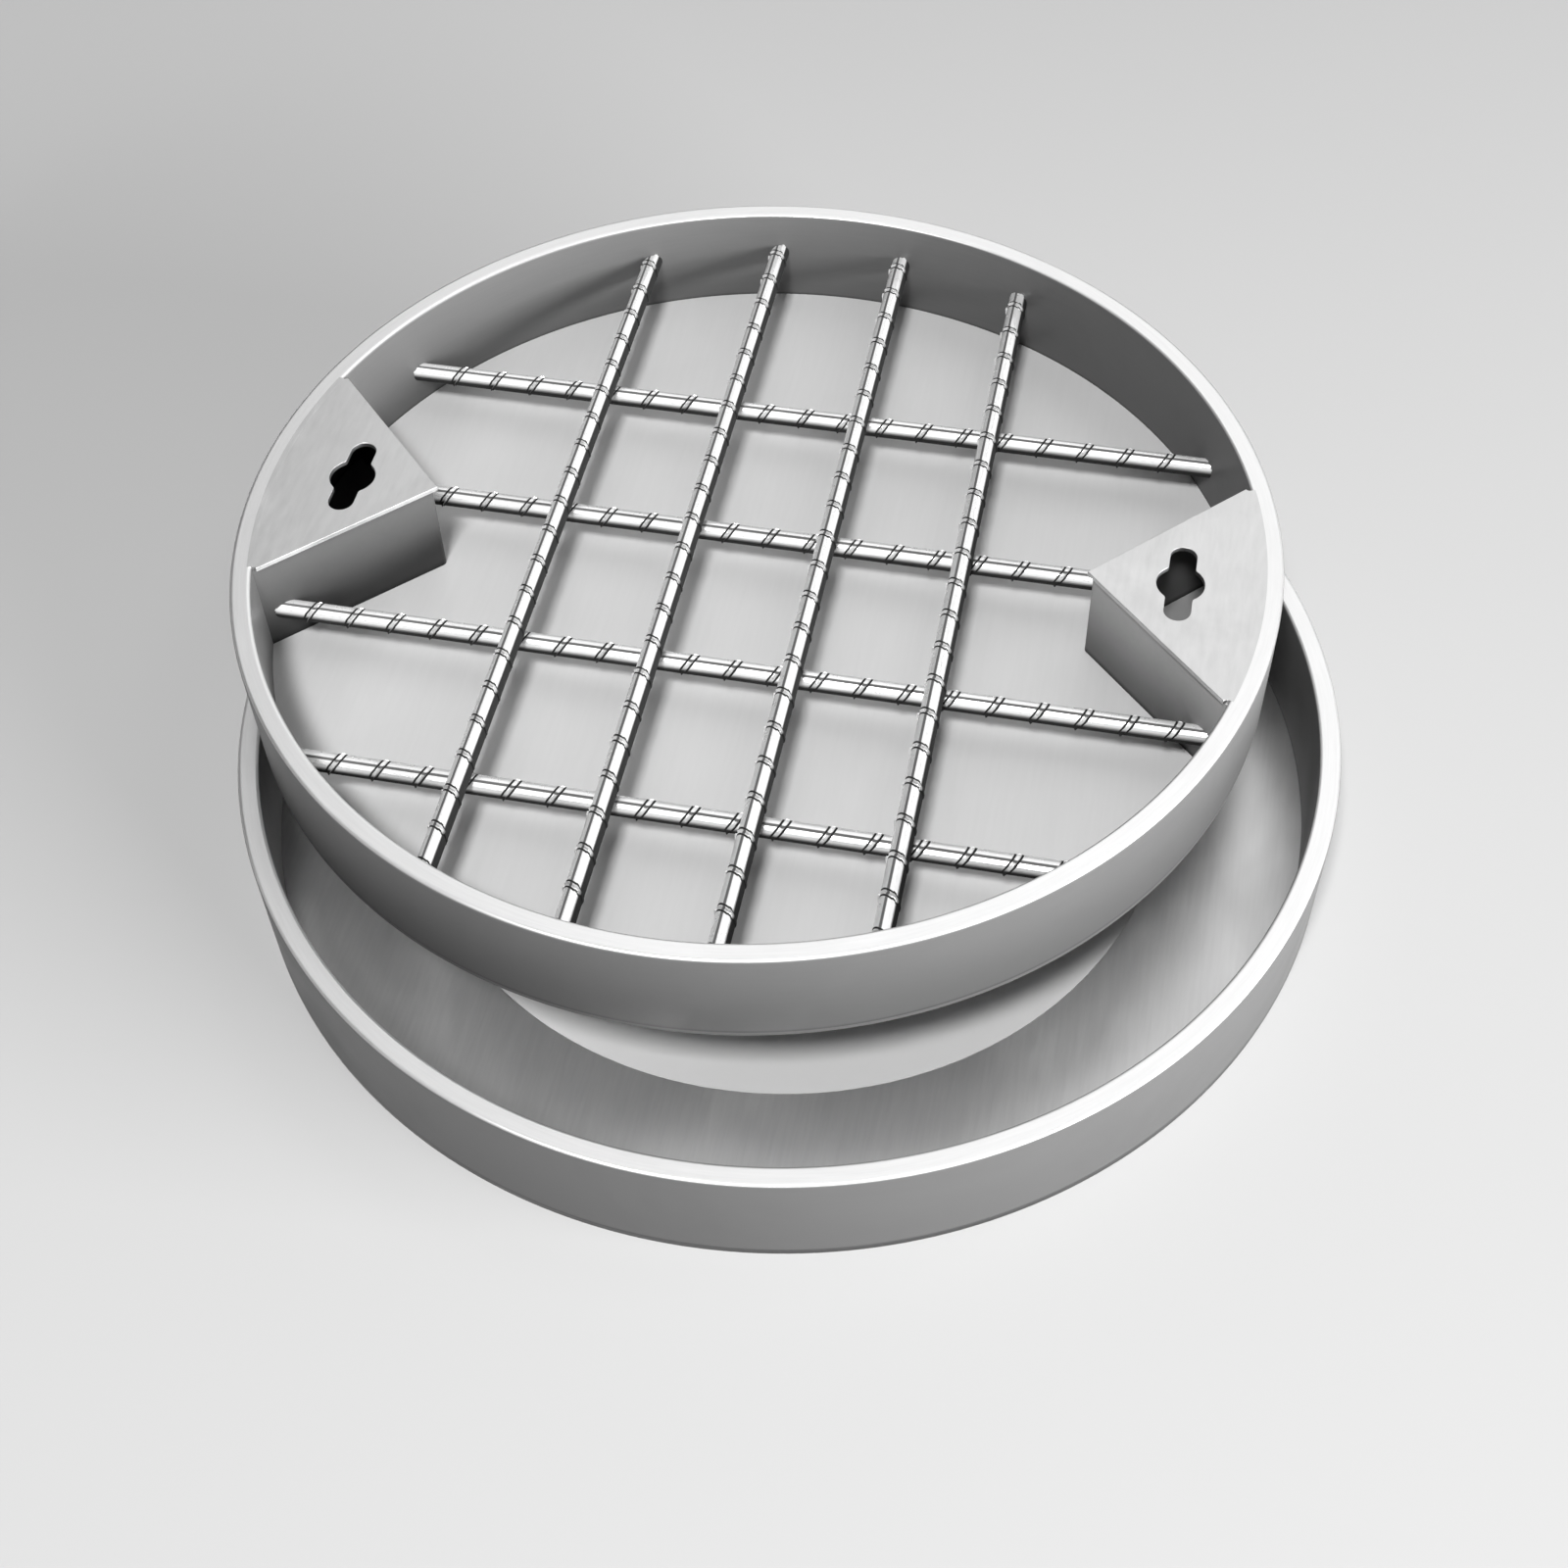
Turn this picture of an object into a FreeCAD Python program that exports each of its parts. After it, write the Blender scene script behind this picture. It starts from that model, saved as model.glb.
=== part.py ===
import FreeCAD, Part
import os

import Sketcher

# Recessed manhole cover: a round stainless tray for paving infill, lying on its ring frame.
# The frame stands on z = 0 with its axis at the origin, and the key boxes lie along X.
# The tray is slid back along the frame's rim, so that part of the seat shows in front of it.

# Driving sizes in millimetres, with angles in degrees.
SIZES = {
    # the tray, and the frame that it drops into
    "cover_diameter": 600,
    "tray_depth": 64,
    "floor_plate": 3,
    "seat_plate": 3,
    "rim_width": 12,
    "rim_sheet": 1.5,
    "bend_inside": 0.5,
    "side_gap": 3,
    "seat_opening": 444,
    # where the tray lies on the frame's rim
    "cover_shift_x": -31,
    "cover_shift_y": 67.5,
    # the key boxes, measured inwards from the tray's wall
    "key_depth": 97,
    "key_plate": 3,
    "key_sheet": 1.5,
    "key_fold_inside": 2,
    "key_overhang": 1.5,
    "keyhole_inset": 45,
    "keyhole_length": 57,
    "keyhole_width": 15,
    "keyhole_middle": 27,
    "corner_relief": 3,
    # the ribbed bars, and how they lie in the tray
    "bar_core": 11.6,
    "rib_height": 1,
    "rib_width": 1.8,
    "rib_pitch": 25,
    "rib_lean": 32,
    "seam_height": 0.8,
    "seam_width": 1.6,
    "long_bar_roll": 55,
    "cross_bar_roll": 22,
    "bar_lift": 16,
    "crossing_gap": 1.2,
    "long_bar_pitch": 107,
    "long_bar_shift": -19,
    "cross_bar_pitch": 81,
    "cross_bar_shift": -4,
}

# Places that follow from the driving sizes. Shut, the tray's rim is flush with the frame's.
PLACES = {
    "cover_radius": "Sizes.cover_diameter / 2",
    "tray_radius": "cover_radius - Sizes.rim_width",
    "cover_height": "Sizes.floor_plate + Sizes.tray_depth",
    "frame_radius": "cover_radius + Sizes.side_gap + Sizes.rim_width",
    "frame_height": "Sizes.seat_plate + cover_height",
    "floor_top": "frame_height + Sizes.floor_plate",
    "rim_top": "frame_height + cover_height",
    "key_corner": "tray_radius - Sizes.key_depth",
    "key_end": "(sqrt(2 * tray_radius ^ 2 - key_corner ^ 2) - key_corner) / 2",
    "skirt_corner": "key_corner + Sizes.key_overhang * sqrt(2)",
    "keyhole_place": "tray_radius - Sizes.keyhole_inset",
    "keyhole_end": "(Sizes.keyhole_length - Sizes.keyhole_width) / 2",
    "key_reach": "2 * Sizes.key_depth",
    "key_cut_foot": "rim_top - 2 * Sizes.key_plate",
    "key_cut_height": "3 * Sizes.key_plate",
    "long_bar_height": "floor_top + Sizes.bar_lift + Sizes.bar_core / 2",
    "cross_bar_height": "long_bar_height + Sizes.bar_core + Sizes.crossing_gap",
    "bar_reach": "Sizes.bar_core / 2 + Sizes.rib_height",
    "rib_reach": "bar_reach * sin(Sizes.rib_lean * 1 deg) + Sizes.rib_width / 2",
}

BARS_EACH_WAY = 4
SIDES = {"left": -1, "right": 1}
HALF_SQUARE_TURN = 45
HALF_TURN = 180
SAME = 1e-6

ORIGIN = FreeCAD.Vector(0, 0, 0)
X_AXIS = FreeCAD.Vector(1, 0, 0)
Y_AXIS = FreeCAD.Vector(0, 1, 0)
Z_AXIS = FreeCAD.Vector(0, 0, 1)

doc = FreeCAD.newDocument("recessed_cover")


def fill_sheet(name, values):
    """A sheet with one named value in each row."""
    sheet = doc.addObject("Spreadsheet::Sheet", name)
    for row, (alias, value) in enumerate(values.items(), start=1):
        sheet.set(f"A{row}", alias)
        sheet.set(f"B{row}", str(value))
        sheet.setAlias(f"B{row}", alias)
    doc.recompute()
    return sheet


sizes = fill_sheet("Sizes", SIZES)
places = fill_sheet("Places", {alias: "=" + formula for alias, formula in PLACES.items()})


def bind(thing, expressions):
    """Ties an object's properties to the sheets."""
    for path, expression in expressions.items():
        thing.setExpression(path, expression)
    return thing


def set_at(thing, x="0", y="0", z="0"):
    """Ties an object's place to the sheets, from the frame's axis."""
    return bind(thing, {"Placement.Base.x": x, "Placement.Base.y": y, "Placement.Base.z": z})


def set_in_tray(thing, x="0", y="0", z="0"):
    """Ties an object's place to the sheets, from the tray's axis."""
    return set_at(thing, f"Sizes.cover_shift_x + {x}", f"Sizes.cover_shift_y + {y}", z)


def turn(thing, axis, degrees):
    """Turns an object about an axis through its own origin."""
    thing.Placement = FreeCAD.Placement(ORIGIN, FreeCAD.Rotation(axis, degrees))
    return thing


# Sketches and features

def new_sketch(body, name, plane):
    """A sketch on one of its own body's planes."""
    sketch = body.newObject("Sketcher::SketchObject", name)
    support = next(item for item in body.Origin.OriginFeatures if item.Role == plane)
    sketch.AttachmentSupport = (support, [""])
    sketch.MapMode = "FlatFace"
    return sketch


def rule(sketch, kind, *what):
    """Adds a constraint to a sketch."""
    return sketch.addConstraint(Sketcher.Constraint(kind, *what))


def dimension(sketch, name, expression, kind, *what):
    """Adds a named dimension to a sketch and ties it to the sheets."""
    sketch.renameConstraint(rule(sketch, kind, *what), name)
    sketch.setExpression(f"Constraints.{name}", expression)


def add_outline(sketch, corners):
    """A closed outline of straight lines, joined end to end."""
    count = len(corners)
    for index in range(count):
        start = FreeCAD.Vector(*corners[index], 0)
        end = FreeCAD.Vector(*corners[(index + 1) % count], 0)
        sketch.addGeometry(Part.LineSegment(start, end), False)
    for index in range(count):
        rule(sketch, "Coincident", index, 2, (index + 1) % count, 1)


def add_circle(sketch, name, radius, expression):
    """A circle about the sketch's origin."""
    index = sketch.addGeometry(Part.Circle(ORIGIN, Z_AXIS, radius), False)
    rule(sketch, "Coincident", index, 3, -1, 1)
    dimension(sketch, name, expression, "Radius", index, radius)


def add_pad(body, name, sketch, length, both_ways=False):
    """Thickens a sketch, upwards or evenly both ways."""
    feature = body.newObject("PartDesign::Pad", name)
    feature.Profile = sketch
    feature.SideType = "Symmetric" if both_ways else "One side"
    return bind(feature, {"Length": length})


def round_edges(body, name, edges, radius):
    """Rounds edges of the body's newest feature."""
    newest = body.Tip
    feature = body.newObject("PartDesign::Fillet", name)
    feature.Base = (newest, edges)
    bind(feature, {"Radius": radius})
    doc.recompute()


def level_circles(body, height, radii):
    """Names of the body's level round edges at a height, with one of the radii."""
    names = []
    for number, edge in enumerate(body.Tip.Shape.Edges, start=1):
        curve = edge.Curve
        if isinstance(curve, Part.Circle) and abs(curve.Center.z - height) < SAME:
            if any(abs(curve.Radius - radius) < SAME for radius in radii):
                names.append(f"Edge{number}")
    return names


def upright_edges(body, x):
    """Names of the body's upright edges that cross the X axis at x."""
    names = []
    for number, edge in enumerate(body.Tip.Shape.Edges, start=1):
        if all(abs(corner.X - x) < SAME and abs(corner.Y) < SAME for corner in edge.Vertexes):
            names.append(f"Edge{number}")
    return names


def boolean(kind, label, base, tool):
    """Cuts a base with a tool, or keeps what they share."""
    result = doc.addObject(kind, label)
    result.Base = base
    result.Tool = tool
    return result


# Rings and plates of the frame and the tray

def value(name):
    """What a sheet holds under a name such as Sizes.rim_width."""
    sheet, alias = name.split(".")
    return getattr(doc.getObject(sheet), alias)


def folded_ring(label, radius, height):
    """Sheet folded over a flat rim into two upright walls, then rolled and welded into a ring."""
    body = doc.addObject("PartDesign::Body", label)
    outer = value(radius)
    inner = outer - sizes.rim_width
    top = value(height)
    sheet = sizes.rim_sheet
    section = new_sketch(body, label + "_section", "XZ_Plane")
    add_outline(section, [
        (outer, 0), (outer, top), (inner, top), (inner, 0),
        (inner + sheet, 0), (inner + sheet, top - sheet), (outer - sheet, top - sheet), (outer - sheet, 0),
    ])
    for upright in (0, 2, 4, 6):
        rule(section, "Vertical", upright)
        rule(section, "Horizontal", upright + 1)
    for foot in (0, 4):
        rule(section, "PointOnObject", foot, 1, -1)
    dimension(section, "outer_radius", radius, "DistanceX", -1, 1, 0, 1, outer)
    dimension(section, "rim", "Sizes.rim_width", "DistanceX", 1, 2, 1, 1, sizes.rim_width)
    dimension(section, "inner_wall", "Sizes.rim_sheet", "DistanceX", 3, 1, 3, 2, sheet)
    dimension(section, "outer_wall", "Sizes.rim_sheet", "DistanceX", 7, 1, 7, 2, sheet)
    dimension(section, "height", height, "DistanceY", 0, 1, 0, 2, top)
    dimension(section, "rim_plate", "Sizes.rim_sheet", "DistanceY", 4, 2, 2, 1, sheet)
    ring = body.newObject("PartDesign::Revolution", label + "_rolled")
    ring.Profile = section
    ring.ReferenceAxis = (section, ["V_Axis"])
    doc.recompute()
    outside = level_circles(body, top, (outer, inner))
    round_edges(body, label + "_outside_folds", outside, "Sizes.bend_inside + Sizes.rim_sheet")
    inside = level_circles(body, top - sheet, (outer - sheet, inner + sheet))
    round_edges(body, label + "_inside_folds", inside, "Sizes.bend_inside")
    return body


def round_plate(label, radius, thickness, opening=None):
    """Flat round plate, with or without a round opening."""
    body = doc.addObject("PartDesign::Body", label)
    outline = new_sketch(body, label + "_outline", "XY_Plane")
    add_circle(outline, "edge", value(radius), radius)
    if opening:
        add_circle(outline, "opening", value(opening) / 2, opening + " / 2")
    add_pad(body, label + "_plate", outline, thickness)
    return body


seat_ring = round_plate("seat_ring", "Places.frame_radius", "Sizes.seat_plate", "Sizes.seat_opening")
frame_ring = folded_ring("frame_ring", "Places.frame_radius", "Places.cover_height")
set_at(frame_ring, z="Sizes.seat_plate")
cover_floor = round_plate("cover_floor", "Places.cover_radius", "Sizes.floor_plate")
set_in_tray(cover_floor, z="Places.frame_height")
cover_wall = folded_ring("cover_wall", "Places.cover_radius", "Sizes.tray_depth")
set_in_tray(cover_wall, z="Places.floor_top")

# The room inside the tray's wall, which ends every piece that is welded to the wall.
tray_room = set_in_tray(doc.addObject("Part::Cylinder", "tray_room"), z="Places.floor_top")
bind(tray_room, {"Radius": "Places.tray_radius", "Height": "Sizes.tray_depth"})


# Key boxes: a folded skirt on the tray's floor, and a plate with a keyhole on the skirt

def square_block(label, side, corner, height, foot):
    """Upright block whose corner points at the tray's axis, with its other edges past the wall."""
    block = doc.addObject("Part::Box", label)
    degrees = -HALF_SQUARE_TURN if SIDES[side] > 0 else HALF_TURN - HALF_SQUARE_TURN
    turn(block, Z_AXIS, degrees)
    bind(block, {"Length": "Places.key_reach", "Width": "Places.key_reach", "Height": height})
    return set_in_tray(block, x=f"{SIDES[side]} * {corner}", z=foot)


def key_cutter(label, side, radius, place="Places.keyhole_place", across="0"):
    """Round cutter that passes through a key plate."""
    cutter = doc.addObject("Part::Cylinder", label)
    bind(cutter, {"Radius": radius, "Height": "Places.key_cut_height"})
    return set_in_tray(cutter, x=f"{SIDES[side]} * ({place})", y=across, z="Places.key_cut_foot")


def key_plate(side):
    """Triangular plate, flush with the rim, with a round-ended keyhole that widens in its middle."""
    name = "key_plate_" + side
    blank = square_block(name + "_blank", side, "Places.key_corner", "Sizes.key_plate",
                         "Places.rim_top - Sizes.key_plate")
    fitted = boolean("Part::Common", name + "_fitted", blank, tray_room)
    slot = doc.addObject("Part::Box", name + "_slot")
    bind(slot, {"Length": "Sizes.keyhole_width", "Width": "2 * Places.keyhole_end",
                "Height": "Places.key_cut_height"})
    set_in_tray(slot, x=f"{SIDES[side]} * Places.keyhole_place - Sizes.keyhole_width / 2",
                y="-Places.keyhole_end", z="Places.key_cut_foot")
    cutters = [slot, key_cutter(name + "_middle", side, "Sizes.keyhole_middle / 2")]
    for word, sign in (("back", ""), ("front", "-")):
        cutters.append(key_cutter(f"{name}_{word}_end", side, "Sizes.keyhole_width / 2",
                                  across=sign + "Places.keyhole_end"))
        cutters.append(key_cutter(f"{name}_{word}_relief", side, "Sizes.corner_relief",
                                  "Places.key_corner + Places.key_end", sign + "Places.key_end"))
    openings = doc.addObject("Part::MultiFuse", name + "_openings")
    openings.Shapes = cutters
    return boolean("Part::Cut", name, fitted, openings)


def key_skirt(side):
    """Sheet folded to a right angle, standing on the floor with both ends against the wall."""
    name = "key_skirt_" + side
    body = doc.addObject("PartDesign::Body", name + "_folded")
    corner = places.skirt_corner
    inner_corner = corner + sizes.key_sheet * 2 ** 0.5
    leg = places.key_reach / 2 ** 0.5
    step = sizes.key_sheet / 2 ** 0.5
    section = new_sketch(body, name + "_section", "XY_Plane")
    add_outline(section, [
        (corner, 0), (corner + leg, leg), (corner + leg + step, leg - step),
        (inner_corner, 0), (corner + leg + step, step - leg), (corner + leg, -leg),
    ])
    for tip in (0, 3):
        rule(section, "PointOnObject", tip, 1, -1)
    rule(section, "Symmetric", 0, 2, 4, 2, -1)
    rule(section, "Perpendicular", 0, 5)
    for outer_leg, end, inner_leg in ((0, 1, 2), (5, 4, 3)):
        rule(section, "Parallel", outer_leg, inner_leg)
        rule(section, "Perpendicular", outer_leg, end)
    dimension(section, "corner", "Places.skirt_corner", "DistanceX", -1, 1, 0, 1, corner)
    dimension(section, "leg", "Places.key_reach", "Distance", 0, places.key_reach)
    dimension(section, "sheet", "Sizes.key_sheet", "Distance", 3, 1, 0, sizes.key_sheet)
    add_pad(body, name + "_wall", section, "Sizes.tray_depth - Sizes.key_plate")
    doc.recompute()
    round_edges(body, name + "_outside_fold", upright_edges(body, corner),
                "Sizes.key_fold_inside + Sizes.key_sheet")
    round_edges(body, name + "_inside_fold", upright_edges(body, inner_corner), "Sizes.key_fold_inside")
    turn(body, Z_AXIS, 0 if SIDES[side] > 0 else HALF_TURN)
    set_in_tray(body, z="Places.floor_top")
    return boolean("Part::Common", name, body, tray_room)


key_boxes = [make(side) for make in (key_skirt, key_plate) for side in SIDES]

# The room that both key boxes take up, which ends the bars that run into them.
key_room = doc.addObject("Part::Fuse", "key_room")
key_room.Base, key_room.Tool = [
    square_block("key_room_" + side, side, "Places.skirt_corner", "Sizes.tray_depth", "Places.floor_top")
    for side in SIDES
]


# Ribbed bars: a round core with two seams along it and leaning crescent ribs

def wall_distance(across):
    """How far a bar runs from the tray's middle before its nearer side meets the wall."""
    return f"sqrt(Places.tray_radius ^ 2 - (abs({across}) + Places.bar_reach) ^ 2)"


def ribbed_bar(label, plane, axis, roll, clear_length):
    """Bar as long as the tray is wide, with whole ribs along its clear length each way from the middle."""
    body = doc.addObject("PartDesign::Body", label)
    core = new_sketch(body, label + "_core", plane)
    add_circle(core, "core", sizes.bar_core / 2, "Sizes.bar_core / 2")
    add_pad(body, label + "_round", core, "2 * Places.tray_radius", both_ways=True)
    seam = new_sketch(body, label + "_seam", plane)
    half_width = sizes.bar_core / 2 + sizes.seam_height
    half_height = sizes.seam_width / 2
    add_outline(seam, [(-half_width, -half_height), (half_width, -half_height),
                       (half_width, half_height), (-half_width, half_height)])
    for level in (0, 2):
        rule(seam, "Horizontal", level)
        rule(seam, "Vertical", level + 1)
    rule(seam, "Symmetric", 0, 1, 2, 1, -1, 1)
    dimension(seam, "across", "Sizes.bar_core + 2 * Sizes.seam_height", "DistanceX",
              0, 1, 0, 2, 2 * half_width)
    dimension(seam, "thick", "Sizes.seam_width", "DistanceY", 1, 1, 1, 2, 2 * half_height)
    add_pad(body, label + "_seams", seam, "2 * Places.tray_radius", both_ways=True)
    ribs_each_way = f"floor(({clear_length} - Places.rib_reach) / Sizes.rib_pitch)"
    rib = new_sketch(body, label + "_rib", plane)
    rib.AttachmentOffset = FreeCAD.Placement(ORIGIN, FreeCAD.Rotation(Y_AXIS, -sizes.rib_lean))
    bind(rib, {"AttachmentOffset.Rotation.Angle": "-Sizes.rib_lean",
               "AttachmentOffset.Base.z": f"-{ribs_each_way} * Sizes.rib_pitch"})
    add_circle(rib, "crest", sizes.bar_core / 2 + sizes.rib_height, "Sizes.bar_core / 2 + Sizes.rib_height")
    first_rib = add_pad(body, label + "_first_rib", rib, "Sizes.rib_width", both_ways=True)
    row = body.newObject("PartDesign::LinearPattern", label + "_ribs")
    row.Originals = [first_rib]
    row.Direction = (core, ["N_Axis"])
    row.Mode = "Spacing"
    bind(row, {"Offset": "Sizes.rib_pitch", "Occurrences": f"2 * {ribs_each_way} + 1"})
    body.Tip = row
    turn(body, axis, value(roll))
    return bind(body, {"Placement.Rotation.Angle": roll})


def long_bar(number, step):
    """Lower bar along X, ended by the wall or by a key box."""
    name = f"long_bar_{number}"
    across = f"Sizes.long_bar_shift + {-step} * Sizes.long_bar_pitch"
    box_distance = f"Places.skirt_corner + abs({across}) - Places.bar_reach"
    clear_length = f"min({wall_distance(across)}; {box_distance})"
    stock = ribbed_bar(name + "_stock", "YZ_Plane", X_AXIS, "Sizes.long_bar_roll", clear_length)
    set_in_tray(stock, y=across, z="Places.long_bar_height")
    fitted = boolean("Part::Common", name + "_fitted", stock, tray_room)
    return boolean("Part::Cut", name, fitted, key_room)


def cross_bar(number, step):
    """Upper bar along Y, lying across the lower bars and ended by the wall."""
    name = f"cross_bar_{number}"
    across = f"Sizes.cross_bar_shift + {step} * Sizes.cross_bar_pitch"
    stock = ribbed_bar(name + "_stock", "XZ_Plane", Y_AXIS, "Sizes.cross_bar_roll", wall_distance(across))
    set_in_tray(stock, x=across, z="Places.cross_bar_height")
    return boolean("Part::Common", name, stock, tray_room)


bars = []
for make_bar in (long_bar, cross_bar):
    for index in range(BARS_EACH_WAY):
        bars.append(make_bar(index + 1, index - (BARS_EACH_WAY - 1) / 2))

# Every object is whole before any file is written.
doc.recompute()
for thing in doc.Objects:
    if "Invalid" in thing.State or "Error" in thing.State:
        raise RuntimeError(f"{thing.Name} did not build: {thing.State}")

pieces = [frame_ring, seat_ring, cover_floor, cover_wall] + key_boxes + bars
for piece in pieces:
    if piece.Shape.isNull() or not piece.Shape.isValid() or len(piece.Shape.Solids) != 1:
        raise RuntimeError(f"{piece.Label} is not one sound solid")

os.makedirs("parts", exist_ok=True)
for piece in pieces:
    piece.Shape.exportStep(f"parts/{piece.Label}.step")
    print(piece.Label, round(piece.Shape.Volume), "cubic mm")
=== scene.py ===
import math

import bmesh
import bpy
from mathutils import Matrix, Vector


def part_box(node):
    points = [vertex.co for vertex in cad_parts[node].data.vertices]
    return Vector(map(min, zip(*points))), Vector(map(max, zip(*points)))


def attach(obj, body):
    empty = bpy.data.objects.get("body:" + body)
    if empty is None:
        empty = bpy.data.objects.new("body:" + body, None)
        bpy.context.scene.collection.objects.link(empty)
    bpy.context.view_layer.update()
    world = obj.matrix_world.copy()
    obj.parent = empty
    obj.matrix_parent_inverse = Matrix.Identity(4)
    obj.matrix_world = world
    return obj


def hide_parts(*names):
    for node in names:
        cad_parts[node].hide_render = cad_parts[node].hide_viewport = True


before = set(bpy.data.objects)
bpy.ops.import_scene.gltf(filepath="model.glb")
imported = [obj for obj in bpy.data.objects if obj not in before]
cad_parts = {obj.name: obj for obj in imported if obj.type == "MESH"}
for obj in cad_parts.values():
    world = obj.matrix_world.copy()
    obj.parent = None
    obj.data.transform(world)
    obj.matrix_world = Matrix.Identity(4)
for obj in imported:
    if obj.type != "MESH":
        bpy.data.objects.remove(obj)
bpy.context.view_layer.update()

# Seat ring: the frame's bottom, a flat ring cut from 3 mm stainless plate in a satin mill finish.
# The shut tray seats on it, and its round hole is the way down into the chamber.
# It is welded under the frame's wall and ground flush with it outside.

SEAT_HOLE_RADIUS = 0.222
SEAT_TONE = 0.78
SEAT_ROUGHNESS = 0.34
SEAT_METALLIC = 1.0
SEAT_GRAIN = {"Across": 420.0, "Along": 30.0}
SEAT_FINISH = {"tone_change": 0.16, "roughness_change": 0.10, "mark_scale": 9.0, "relief": 0.06}
# Painted shade: a round plate's upright outer edge is painted dark, as dark as the walls.
EDGE_TONE = 0.12
EDGE_DEPTH = 0.0006
EDGE_BREAK = 0.0004
STEEL_SPECULAR = 0.3
GRAIN_DETAIL = 4.0
GRAIN_HEIGHT = 0.0002
SHEET_GRAIN_ROUGHNESS = 0.6
MARK_DETAIL = 3.0
MARK_ROUGHNESS = 0.55
MARK_DISTORTION = 0.7
MARK_START = 0.42
MARK_FULL = 0.72
MARK_SHADE = 0.25
ROUND_STEPS = 256
CREASE = math.radians(35)
SAME_PLACE = 1e-6


def add(tree, kind, sockets=None, **choices):
    """Adds a node, makes its choices, and feeds its inputs with values or with other nodes' outputs."""
    node = tree.nodes.new(kind)
    for name, value in choices.items():
        setattr(node, name, value)
    for name, value in (sockets or {}).items():
        if isinstance(value, bpy.types.NodeSocket):
            tree.links.new(value, node.inputs[name])
        else:
            node.inputs[name].default_value = value
    return node


def calculate(tree, operation, *values):
    """The result of a sum on values or on other nodes' outputs."""
    return add(tree, "ShaderNodeMath", dict(enumerate(values)), operation=operation).outputs[0]


def vector_result(tree, operation, *vectors):
    """The vector that a sum on vectors gives."""
    return add(tree, "ShaderNodeVectorMath", dict(enumerate(vectors)), operation=operation).outputs["Vector"]


def vector_length(tree, vector):
    """How long a vector is."""
    return add(tree, "ShaderNodeVectorMath", {0: vector}, operation="LENGTH").outputs["Value"]


def parts_of(tree, vector):
    """A vector's X, Y and Z."""
    return add(tree, "ShaderNodeSeparateXYZ", {"Vector": vector}).outputs


def blend(tree, amount, none, full):
    """A value that goes from one to the other as an amount goes from 0 to 1."""
    return add(tree, "ShaderNodeMapRange", {"Value": amount, "To Min": none, "To Max": full}).outputs[0]


def soft_step(tree, value, low, high, start=0.0):
    """A smooth rise to 1 while a value goes from low to high."""
    return add(tree, "ShaderNodeMapRange",
               {"Value": value, "From Min": low, "From Max": high, "To Min": start},
               interpolation_type="SMOOTHSTEP").outputs[0]


def new_group(name, kind, inputs, outputs):
    """A node group with named sockets, and what its input node gives."""
    tree = bpy.data.node_groups.new(name, kind)
    for way, sockets in (("INPUT", inputs), ("OUTPUT", outputs)):
        for label, socket_kind in sockets.items():
            tree.interface.new_socket(label, in_out=way, socket_type="NodeSocket" + socket_kind)
    return tree, tree.nodes.new("NodeGroupInput").outputs


def use_group(tree, group, sockets):
    """Puts a node group into a material, and returns what it gives."""
    return add(tree, "ShaderNodeGroup", sockets, node_tree=group).outputs


def grain_streaks(tree, place, roughness):
    """Fine streaks at a place that is stretched along them."""
    return add(tree, "ShaderNodeTexNoise",
               {"Vector": place, "Scale": 1.0, "Detail": GRAIN_DETAIL, "Roughness": roughness}).outputs[0]


def sheet_grain_group():
    """Straight streaks that rolling or brushing leaves along a sheet, finer across than along."""
    tree, given = new_group("sheet_grain", "ShaderNodeTree",
                            {"Vector": "Vector", "Across": "Float", "Along": "Float"}, {"Grain": "Float"})
    stretch = add(tree, "ShaderNodeCombineXYZ",
                  {"X": given["Across"], "Y": given["Along"], "Z": given["Across"]}).outputs[0]
    place = vector_result(tree, "MULTIPLY", given["Vector"], stretch)
    add(tree, "NodeGroupOutput", {"Grain": grain_streaks(tree, place, SHEET_GRAIN_ROUGHNESS)})
    return tree


def handling_marks_group():
    """Soft blotches where wet hands and cloths have touched the steel."""
    tree, given = new_group("handling_marks", "ShaderNodeTree",
                            {"Vector": "Vector", "Scale": "Float"}, {"Mark": "Float"})
    cloud = add(tree, "ShaderNodeTexNoise", {
        "Vector": given["Vector"], "Scale": given["Scale"], "Detail": MARK_DETAIL,
        "Roughness": MARK_ROUGHNESS, "Distortion": MARK_DISTORTION}).outputs[0]
    add(tree, "NodeGroupOutput", {"Mark": soft_step(tree, cloud, MARK_START, MARK_FULL)})
    return tree


def steel_finish_group():
    """How the grain and the marks change a steel's tone and how rough it is."""
    tree, given = new_group("steel_finish", "ShaderNodeTree",
                            {"Grain": "Float", "Mark": "Float", "Tone": "Float", "Tone Change": "Float",
                             "Roughness": "Float", "Roughness Change": "Float"},
                            {"Tone": "Float", "Roughness": "Float"})
    swing = calculate(tree, "SUBTRACT", given["Grain"], 0.5)
    lighter = calculate(tree, "SUBTRACT", swing, calculate(tree, "MULTIPLY", given["Mark"], MARK_SHADE))
    factor = calculate(tree, "MULTIPLY_ADD", lighter, given["Tone Change"], 1.0)
    tone = calculate(tree, "MULTIPLY", given["Tone"], factor)
    duller = calculate(tree, "ADD", swing, given["Mark"])
    roughness = calculate(tree, "MULTIPLY_ADD", duller, given["Roughness Change"], given["Roughness"])
    add(tree, "NodeGroupOutput", {"Tone": tone, "Roughness": roughness})
    return tree


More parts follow.
